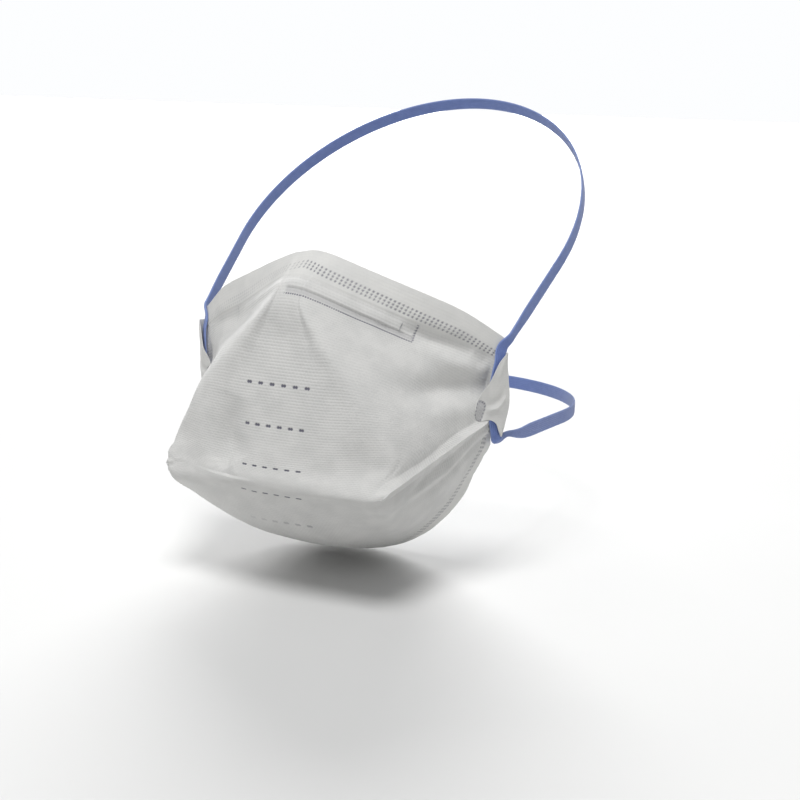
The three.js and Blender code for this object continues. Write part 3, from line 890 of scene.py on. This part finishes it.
def dashes(cloth):
    """Short rows of weld dashes across the middle, each of two touching dots."""
    press = np.zeros_like(cloth.side)
    for panel, v, half, shift, (first, last) in DASH_ROWS:
        if panel != cloth.panel:
            continue
        rise = (cloth.v - v)[:, None] * PANEL_HEIGHT[panel]
        for k in range(DASHES):
            share = k / (DASHES - 1)
            centre = shift + half * (2 * share - 1)
            for offset in (-DASH_SPREAD, DASH_SPREAD):
                distance = np.hypot(cloth.side - centre - offset, rise)
                dot = 1 - smoothstep(0.7 * DASH_RADIUS[panel], 1.15 * DASH_RADIUS[panel], distance)
                press = np.maximum(press, dot * (first + (last - first) * share))
    return press


def dots_along(cloth, v, pitch, radius, lean=0.0):
    """One row of round weld dots; it crosses the middle at v and drifts by lean towards the seams."""
    gap = ((cloth.side / pitch + 0.5) % 1 - 0.5) * pitch
    rise = (cloth.v[:, None] - v - lean * np.abs(cloth.u)) * PANEL_HEIGHT[cloth.panel]
    return 1 - smoothstep(0.6 * radius, 1.3 * radius, np.hypot(gap, rise))


def pocket_end_dots(cloth):
    """The dotted line that closes the nose wire's pocket at its two ends."""
    press = np.zeros_like(cloth.side)
    for v in np.linspace(POCKET_LINE, TAPE_FOOT["upper"], POCKET_END_ROWS)[1:]:
        j = np.argmin(np.abs(cloth.v - v))
        rise = (cloth.v - v)[:, None] * PANEL_HEIGHT["upper"]
        for side, strength in POCKET_END_STRENGTH.items():
            end = np.interp(side * POCKET_END, cloth.u, cloth.side[j])
            dot = 1 - smoothstep(0.25, 0.55, np.hypot(cloth.side - end, rise))
            press = np.maximum(press, strength * dot)
    return press


def wire_pocket(cloth):
    """The nose wire's pocket: how far it is pressed and how far it lifts the cover."""
    marked = smoothstep(*POCKET_START, cloth.u) * (cloth.u < POCKET_END)
    line = dots_along(cloth, POCKET_LINE, POCKET_PITCH, POCKET_DOT_RADIUS) * marked
    ends = pocket_end_dots(cloth)
    band = plateau(cloth.v, *POCKET_BAND, 0.002)[:, None] * marked
    low, high = WIRE_RIDGE
    soft = 0.016 - 0.011 * marked  # its lower edge is crisper where the pocket is marked
    ridge = smoothstep(low - soft, low + soft, cloth.v[:, None])
    ridge = ridge * (1 - smoothstep(high - 0.012, high + 0.012, cloth.v))[:, None]
    ridge = ridge * (1 - smoothstep(*WIRE_RIDGE_END, np.abs(cloth.u)))
    ridge = ridge * (WIRE_RIDGE_FAINT + (1 - WIRE_RIDGE_FAINT) * marked)
    press = np.maximum.reduce([line, ends, 0.2 * band])
    sunk = POCKET_BAND_DEPTH * band + POCKET_DOT_DEPTH * (line + ends)
    return press, WIRE_RIDGE_HEIGHT * ridge - sunk


def make_cover(panel, look):
    """The outer cover with everything pressed into it."""
    v = rows_between(*COVER_ROWS[panel])
    cloth = Cloth(panel, columns_across(panel, COVER_COLUMNS[panel]), v)
    press = dashes(cloth)
    height = -DASH_DEPTH * press
    if panel == "upper":
        pocket_press, pocket_height = wire_pocket(cloth)
        press = np.maximum(press, pocket_press)
        height = height + pocket_height
    points = cloth.at_depth(-height)
    faces = grid_faces(len(v), len(cloth.u), flip=panel == "lower")
    piece = mesh_object(
        "cover_" + panel, points.reshape(-1, 3), faces, look, cloth.flat().reshape(-1, 2), press.ravel()
    )
    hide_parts("outer_cover_" + panel)
    return piece


def make_inner_ply(slot, node, panel, depth, look):
    """A closed thin sheet under the cover, following its folds."""
    cloth = Cloth(panel, columns_across(panel, PLY_COLUMNS), np.linspace(0, 1, PLY_ROWS))
    front = cloth.at_depth(cloth.inner_depth(depth)).reshape(-1, 3)
    back = cloth.at_depth(cloth.inner_depth(depth + PLY_THICKNESS)).reshape(-1, 3)
    rows, columns = len(cloth.v), len(cloth.u)
    faces = grid_faces(rows, columns)
    border = np.concatenate([
        np.arange(columns), (np.arange(1, rows) + 1) * columns - 1,
        rows * columns - 2 - np.arange(columns - 1), (rows - 2 - np.arange(rows - 2)) * columns,
    ])
    after = np.roll(border, -1)
    walls = np.stack([border, border + len(front), after + len(front), after], -1)
    quads = np.concatenate([faces, faces[:, ::-1] + len(front), walls])
    if panel == "lower":
        quads = quads[:, ::-1]
    flat = cloth.flat().reshape(-1, 2)
    none = np.zeros(2 * len(front))
    points = np.concatenate([front, back])
    piece = mesh_object(slot + "_ply_" + panel, points, quads, look, np.concatenate([flat, flat]), none)
    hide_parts(node + panel)
    return piece


def make_tape(panel, look):
    """The binding tape folded over the rim and welded through in rows of dots."""
    foot = TAPE_FOOT[panel]
    (dotted_rows, plain_rows), round_rows, inside_rows = TAPE_ROWS
    outside = rows_between((foot, dotted_rows), (0.97, plain_rows), (1.0, 0))
    turn = np.linspace(0, math.pi, round_rows + 2)[1:-1]
    inside = np.linspace(1.0, foot, inside_rows)
    v = np.concatenate([[foot], outside, np.ones(len(turn)), inside, [foot]])
    cloth = Cloth(panel, columns_across(panel, COVER_COLUMNS[panel]), v)
    deep = cloth.inner_depth(LINER_DEPTH + PLY_THICKNESS)
    melt = smoothstep(0, TAPE_RAMP, (v - foot) * PANEL_HEIGHT[panel])
    proud = np.broadcast_to(-TAPE_THICKNESS * melt[:, None], deep.shape).copy()
    proud[0] = 0.1
    behind = deep + TAPE_THICKNESS
    behind[-1] = deep[-1] - 0.1
    outer_rows = 1 + len(outside)
    turn_rows = slice(outer_rows, outer_rows + len(turn))
    depth = np.where((np.arange(len(v)) < outer_rows)[:, None], proud, behind)
    middle = (behind[turn_rows] - TAPE_THICKNESS) / 2
    radius = (behind[turn_rows] + TAPE_THICKNESS) / 2
    depth[turn_rows] = middle - radius * np.cos(turn)[:, None]
    beyond = np.zeros_like(depth)
    beyond[turn_rows] = radius * np.sin(turn)[:, None]
    dots = np.maximum.reduce([
        dots_along(cloth, row, TAPE_DOT_PITCH, TAPE_DOT_RADIUS[panel], TAPE_DOT_LEAN[panel])
        for row in TAPE_DOT_ROWS[panel]
    ])
    if panel == "upper":
        dots = dots * (0.3 + 0.7 * smoothstep(-6, 4, cloth.side))
    dots[outer_rows:] = 0
    depth = depth + TAPE_DOT_DEPTH * dots
    points = cloth.at_depth(depth) + cloth.up * beyond[..., None]
    faces = grid_faces(len(v), len(cloth.u), flip=panel == "lower")
    flat = cloth.flat().reshape(-1, 2)
    piece = mesh_object(
        panel + "_binding_tape", points.reshape(-1, 3), faces, look, flat, (TAPE_DOT_SHADE * dots).ravel()
    )
    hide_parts(panel + "_edge_binding")
    return piece


# ---- strap loops --------------------------------------------------------------------------------
def cover_tree(covers):
    """The covers' faces in millimetres, for measuring how far out the cloth stands."""
    points, faces = [], []
    for cover in covers:
        start = len(points)
        points += [tuple(vertex.co / METRES) for vertex in cover.data.vertices]
        faces += [[start + corner for corner in face.vertices] for face in cover.data.polygons]
    return BVHTree.FromPolygons(points, faces)


def cover_stand(tree, side, inward, height):
    """How far out the covers stand at places in the loop's plane."""
    from_out = 20.0
    stand = np.full(inward.shape, -TUNNEL_DEPTH)
    start = loop_place(side, inward, from_out, height)
    heading = Vector(-LOOP_OUT if side > 0 else mirror(-LOOP_OUT))
    for place in np.ndindex(inward.shape):
        hit, _, _, distance = tree.ray_cast(Vector(start[place]), heading)
        if hit is not None:
            stand[place] = max(from_out - distance, -TUNNEL_DEPTH)
    return stand


def oval_marks(inward, height):
    """The oval weld: how far each place is inside it, and its border of dots."""
    along_in, along_up = OVAL_LONG
    from_in, from_up = inward - OVAL_CENTRE[0], height - OVAL_CENTRE[1]
    along = (from_in * along_in + from_up * along_up) / OVAL_HALF[0]
    across = (from_in * -along_up + from_up * along_in) / OVAL_HALF[1]
    radius = (np.abs(along) ** 3 + np.abs(across) ** 3) ** (1 / 3)
    inside = 1 - smoothstep(0.94, 1.08, radius)
    turn = np.arctan2(across, along)
    ring = plateau(radius, 0.76, 1.0, 0.06)
    dots = ring * smoothstep(-0.3, 0.5, np.cos(turn * OVAL_DOTS))
    quilt = (1 - ring) * inside * smoothstep(0.1, 0.8, np.cos(4.4 * from_in) * np.cos(4.4 * from_up))
    return inside, dots, quilt


def flap_height(inward, height):
    """The flap's creases and soft puff."""
    total = 0.35 * np.sin(np.clip(inward / 9, 0, 1) * math.pi)
    places = np.stack([inward, height], -1)
    for stops, width, rise in FLAP_CREASES:
        line = curve_weights(len(stops), np.linspace(0, 1, 16)) @ np.array(stops, float)
        distance, along = distance_to_line(places, line)
        total = total + rise * np.exp(-((distance / width) ** 2)) * np.sin(np.pi * (0.15 + 0.7 * along))
    return total


def flap_grid():
    """Places foot to top in the loop's plane: the fold's edge, the flap, and how far across it they are."""
    edges = curve_weights(len(FLAP_EDGES), np.linspace(0, 1, LOOP_ROWS)) @ FLAP_EDGES
    fold_in, fold_up, edge_in, edge_up = (edges[:, k : k + 1] for k in range(4))
    share = np.linspace(0, 1, FLAP_COLUMNS + 1)[None, 1:]
    flap_in, flap_up = fold_in + (edge_in - fold_in) * share, fold_up + (edge_up - fold_up) * share
    return fold_in, fold_up, flap_in, flap_up, share


def flap_stand(tree, side, flap_in, flap_up, share):
    """How far out the flap stands, free near the fold and then welded down, and how far it is pressed."""
    inside, dots, quilt = oval_marks(flap_in, flap_up)
    free = LOOP_THICKNESS / 2 + flap_height(flap_in, flap_up) * smoothstep(0, 0.2, share)
    lying = cover_stand(tree, side, flap_in, flap_up) + FLAP_CLEARANCE
    welded = smoothstep(*FLAP_WELD, flap_in)
    stand = np.maximum(free * (1 - welded) + (lying + FLAP_PUFF * (1 - inside)) * welded, lying)
    return stand - 0.1 * dots + 0.04 * quilt, np.maximum(0.42 * inside - 0.15 * quilt, 0.95 * dots)


def loop_skins(side, fold_in, fold_up, flap_in, flap_up, flap_out):
    """The loop's places (in, out, up), leaf then bend then flap, and the points of its two skins."""
    turn = TUNNEL_DEPTH / 2
    angles = np.radians(np.linspace(270, 90, BEND_COLUMNS))[None]
    leaf = np.linspace(INNER_LEAF, 0, LEAF_COLUMNS + 1)[None, :-1] + fold_in
    leaf_out = np.full(leaf.shape, -TUNNEL_DEPTH - LOOP_THICKNESS / 2)
    bend_out = np.broadcast_to((turn + LOOP_THICKNESS / 2) * np.sin(angles) - turn, (LOOP_ROWS, BEND_COLUMNS))
    inward = np.concatenate([leaf, fold_in + turn * np.cos(angles) * 0.6, flap_in], 1)
    outward = np.concatenate([leaf_out, bend_out, flap_out], 1)
    upward = np.concatenate([np.repeat(fold_up, LEAF_COLUMNS + BEND_COLUMNS, 1), flap_up], 1)
    thinned = 1 - 0.6 * smoothstep(*FLAP_WELD, flap_in)
    full = np.ones((LOOP_ROWS, LEAF_COLUMNS + BEND_COLUMNS))
    thickness = LOOP_THICKNESS * np.concatenate([full, thinned], 1)
    zeros, ones = np.zeros_like, np.ones_like
    lean_in = np.concatenate([zeros(leaf), np.cos(angles) + zeros(fold_in), zeros(flap_in)], 1)
    lean_out = np.concatenate([-ones(leaf), np.sin(angles) + zeros(fold_in), ones(flap_in)], 1)
    outer = loop_place(side, inward, outward, upward)
    inner = loop_place(side, inward - thickness * lean_in, outward - thickness * lean_out, upward)
    return inward, outward, upward, np.concatenate([outer, inner[:, ::-1]], 1)


def loop_faces(side, across):
    """Quads round the two skins and over their open ends."""
    near = np.arange(across - 1)
    cap = np.stack([near, near + 1, 2 * across - 2 - near, 2 * across - 1 - near], -1)
    last_row = (LOOP_ROWS - 1) * 2 * across
    faces = np.concatenate([ring_faces(LOOP_ROWS, 2 * across), cap[:, ::-1], cap + last_row])
    return faces[:, ::-1] if side < 0 else faces


def make_loop(side, tree, look):
    """A strap loop: the leaf behind the band, the fold round it, and the flap welded to the cover."""
    fold_in, fold_up, flap_in, flap_up, share = flap_grid()
    flap_out, flap_press = flap_stand(tree, side, flap_in, flap_up, share)
    inward, outward, upward, section = loop_skins(side, fold_in, fold_up, flap_in, flap_up, flap_out)
    across = inward.shape[1]
    walked = np.cumsum(np.hypot(np.diff(inward), np.diff(outward)), 1)
    flat = np.stack([np.concatenate([np.zeros((LOOP_ROWS, 1)), walked], 1), upward], -1)
    flat = np.concatenate([flat, flat[:, ::-1]], 1)
    press = np.zeros(section.shape[:2])
    press[:, across - FLAP_COLUMNS : across] = flap_press
    name = "strap_loop_" + ("left" if side > 0 else "right")
    piece = mesh_object(
        name + "_cloth", section.reshape(-1, 3), loop_faces(side, across), look, flat.reshape(-1, 2),
        press.ravel(),
    )
    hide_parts(name)
    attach(piece, "mask")


# ---- light and floor ----------------------------------------------------------------------------
def make_area_light(name, rightwards, upwards, backwards, size, power):
    right, up, back = camera_axes()
    data = bpy.data.lights.new(name, "AREA")
    data.shape = "DISK"
    data.size = size
    data.energy = power
    lamp = bpy.data.objects.new(name, data)
    bpy.context.collection.objects.link(lamp)
    aim = Vector(AIM) * METRES
    lamp.location = aim + right * rightwards + up * upwards + back * backwards
    lamp.rotation_mode = "QUATERNION"
    lamp.rotation_quaternion = (aim - lamp.location).to_track_quat("-Z", "Y")


def make_floor(low_point):
    corners = ((-1, -1), (1, -1), (1, 1), (-1, 1))
    points = np.array([(x * FLOOR_HALF, y * FLOOR_HALF, low_point) for x, y in corners])
    floor = mesh_object("floor", points / METRES, np.array([[0, 1, 2, 3]]), floor_material())


def screen_from(lamp, pieces):
    """Keep the lamp's direct light off these pieces."""
    screened = bpy.data.collections.new("screened_from_" + lamp.name)
    for piece in pieces:
        screened.objects.link(piece)
    for entry in screened.collection_objects:
        entry.light_linking.link_state = "EXCLUDE"
    lamp.light_linking.receiver_collection = screened


def make_world():
    """A dim ceiling over a bright wall, which is seen just above the floor."""
    world = bpy.data.worlds.new("soft_studio")
    world.use_nodes = True
    tree = world.node_tree
    place = tree.nodes.new("ShaderNodeTexCoord").outputs["Generated"]
    split = tree.nodes.new("ShaderNodeSeparateXYZ")
    height = tree.nodes.new("ShaderNodeMapRange")
    tree.links.new(place, split.inputs[0])
    tree.links.new(split.outputs["Z"], height.inputs["Value"])
    limits = (*WALL_TOP, WALL_LIGHT, CEILING_LIGHT)
    for name, value in zip(("From Min", "From Max", "To Min", "To Max"), limits):
        height.inputs[name].default_value = value
    background = tree.nodes["Background"]
    background.inputs["Color"].default_value = (0.98, 0.99, 1.0, 1)
    tree.links.new(height.outputs["Result"], background.inputs["Strength"])
    bpy.context.scene.world = world


# ---- the scene ----------------------------------------------------------------------------------
make_camera()
make_bands(elastic())

cloths = {name: nonwoven(name, *look) for name, look in CLOTHS.items()}
covers = []
for panel in ("upper", "lower"):
    pieces = [
        make_cover(panel, cloths["cover_nonwoven"]),
        make_inner_ply("filter", "filter_", panel, FILTER_DEPTH, cloths["filter_meltblown"]),
        make_inner_ply("liner", "inner_liner_", panel, LINER_DEPTH, cloths["liner_nonwoven"]),
        make_tape(panel, cloths["binding_nonwoven"]),
    ]
    for piece in pieces:
        place_cloth(piece, panel)
    covers.append(pieces[0])

tree = cover_tree(covers)
for side in (1, -1):
    make_loop(side, tree, cloths["binding_nonwoven"])

frame["nodes"]["nose_wire"].material_slots[0].material = galvanised()

make_world()
for lamp in LAMPS:
    make_area_light(*lamp)
make_floor(cad_box[0].z - FLOOR_GAP)
screened = [piece for piece in bpy.data.objects if piece.name.endswith(SCREENED)]
screen_from(bpy.data.objects["background"], screened)
bpy.context.scene.view_settings.view_transform = "Standard"

bpy.context.view_layer.update()
